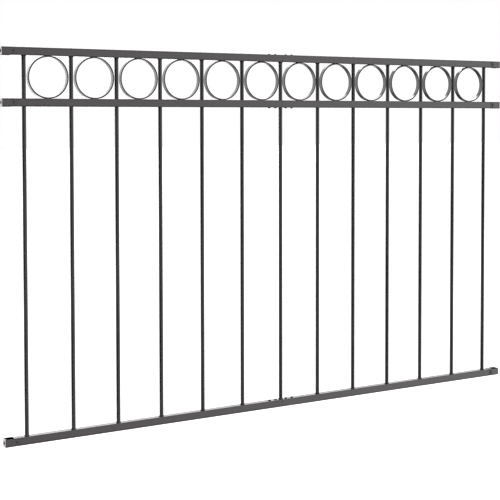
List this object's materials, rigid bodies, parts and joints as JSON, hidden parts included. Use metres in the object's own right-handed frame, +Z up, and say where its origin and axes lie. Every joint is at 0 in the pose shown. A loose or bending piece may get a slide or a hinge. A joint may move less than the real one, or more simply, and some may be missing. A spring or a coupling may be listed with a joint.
{
  "type": "steel fence panel",
  "caption": "Powder-coated steel fence panel with square-tube rails, round vertical pickets and a row of rings between the upper rails, bolted to posts at its ends.",
  "frame": {"origin": "middle of the outer face of the bottom rail's left end bracket, on the axis of its bolt hole", "axes": "+X along the panel from its left end to its right, +Y to the back, +Z up"},
  "size_m": [1.656, 0.02, 1.0141],
  "materials": {
    "powder_coat": "semi-gloss anthracite powder coat",
    "black_steel": "black-oxide screws and sleeves"
  },
  "bodies": {
    "root": {"top_rail_left": "powder_coat", "top_rail_right": "powder_coat", "middle_rail_left": "powder_coat", "middle_rail_right": "powder_coat", "bottom_rail_left": "powder_coat", "bottom_rail_right": "powder_coat", "picket_01": "powder_coat", "picket_02": "powder_coat", "picket_03": "powder_coat", "picket_04": "powder_coat", "picket_05": "powder_coat", "picket_06": "powder_coat", "picket_07": "powder_coat", "picket_08": "powder_coat", "picket_09": "powder_coat", "picket_10": "powder_coat", "picket_11": "powder_coat", "picket_12": "powder_coat", "picket_13": "powder_coat", "ring_01": "powder_coat", "ring_02": "powder_coat", "ring_03": "powder_coat", "ring_04": "powder_coat", "ring_05": "powder_coat", "ring_06": "powder_coat", "ring_07": "powder_coat", "ring_08": "powder_coat", "ring_09": "powder_coat", "ring_10": "powder_coat", "ring_11": "powder_coat", "ring_12": "powder_coat", "top_left_end_bracket": "powder_coat", "top_right_end_bracket": "powder_coat", "middle_left_end_bracket": "powder_coat", "middle_right_end_bracket": "powder_coat", "bottom_left_end_bracket": "powder_coat", "bottom_right_end_bracket": "powder_coat", "top_joint_sleeve": "black_steel", "middle_joint_sleeve": "black_steel", "bottom_joint_sleeve": "black_steel", "top_joint_screws": "black_steel", "middle_joint_screws": "black_steel", "bottom_joint_screws": "black_steel"}
  },
  "joints": []
}
